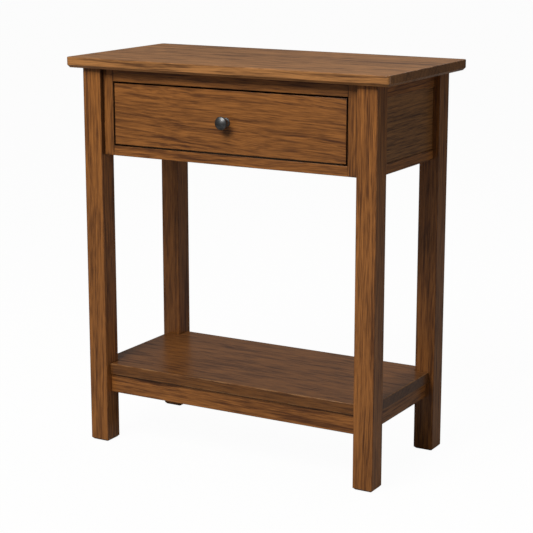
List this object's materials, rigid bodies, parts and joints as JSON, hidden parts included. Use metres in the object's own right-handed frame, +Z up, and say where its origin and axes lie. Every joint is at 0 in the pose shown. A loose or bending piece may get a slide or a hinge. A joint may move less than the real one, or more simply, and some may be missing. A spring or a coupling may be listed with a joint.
{
  "type": "side table with drawer",
  "caption": "Free-standing wooden side table with an inset drawer that slides out, a round knob, square legs and a low shelf on stretchers.",
  "frame": {"origin": "on the floor under the middle of the table top", "axes": "+Z up, +X to the right as seen from the front, the drawer opens towards -Y"},
  "size_m": [0.68, 0.336, 0.762],
  "materials": {
    "stained_wood": "medium brown stain under satin lacquer, open straight grain",
    "hidden_wood": "unfinished planed softwood",
    "drawer_wood": "pale hardwood, thin clear sealer",
    "plywood": "thin birch plywood, clear sealer",
    "pewter": "dark pewter, satin",
    "zinc_steel": "bright zinc plate",
    "glide_plastic": "dark brown moulded"
  },
  "bodies": {
    "table": {"table_top": "stained_wood", "leg_front_left": "stained_wood", "leg_front_right": "stained_wood", "leg_back_left": "stained_wood", "leg_back_right": "stained_wood", "front_top_rail": "stained_wood", "front_bottom_rail": "stained_wood", "front_stile_left": "stained_wood", "front_stile_right": "stained_wood", "side_rail_upper_left": "stained_wood", "side_rail_upper_right": "stained_wood", "side_panel_left": "stained_wood", "side_panel_right": "stained_wood", "side_rail_lower_left": "stained_wood", "side_rail_lower_right": "stained_wood", "back_apron": "stained_wood", "shelf_board": "stained_wood", "stretcher_front": "stained_wood", "stretcher_back": "stained_wood", "stretcher_left": "stained_wood", "stretcher_right": "stained_wood", "drawer_runner_left": "hidden_wood", "drawer_runner_right": "hidden_wood", "drawer_guide_left": "hidden_wood", "drawer_guide_right": "hidden_wood", "drawer_kicker_left": "hidden_wood", "drawer_kicker_right": "hidden_wood", "drawer_stop_left": "hidden_wood", "drawer_stop_right": "hidden_wood", "face_frame_dowels": "hidden_wood", "top_screws": "zinc_steel", "guide_screws": "zinc_steel", "shelf_screws": "zinc_steel", "glide_nails": "zinc_steel", "foot_glides": "glide_plastic"},
    "drawer": {"drawer_front": "stained_wood", "drawer_side_left": "drawer_wood", "drawer_side_right": "drawer_wood", "drawer_back": "drawer_wood", "drawer_bottom": "plywood", "drawer_bottom_screws": "zinc_steel", "knob": "pewter", "knob_screw": "zinc_steel", "turn_button_screw": "zinc_steel"},
    "turn_button": {"turn_button": "drawer_wood"}
  },
  "joints": [
    {"name": "drawer_slide", "type": "slide", "parent": "table", "child": "drawer", "axis": [0, -1, 0], "range_m": [0, 0.215]},
    {"name": "turn_button_pivot", "type": "hinge", "parent": "drawer", "child": "turn_button", "pos_m": [0, 0.0947, 0.69], "axis": [0, 1, 0], "range_deg": [0, 90]}
  ]
}
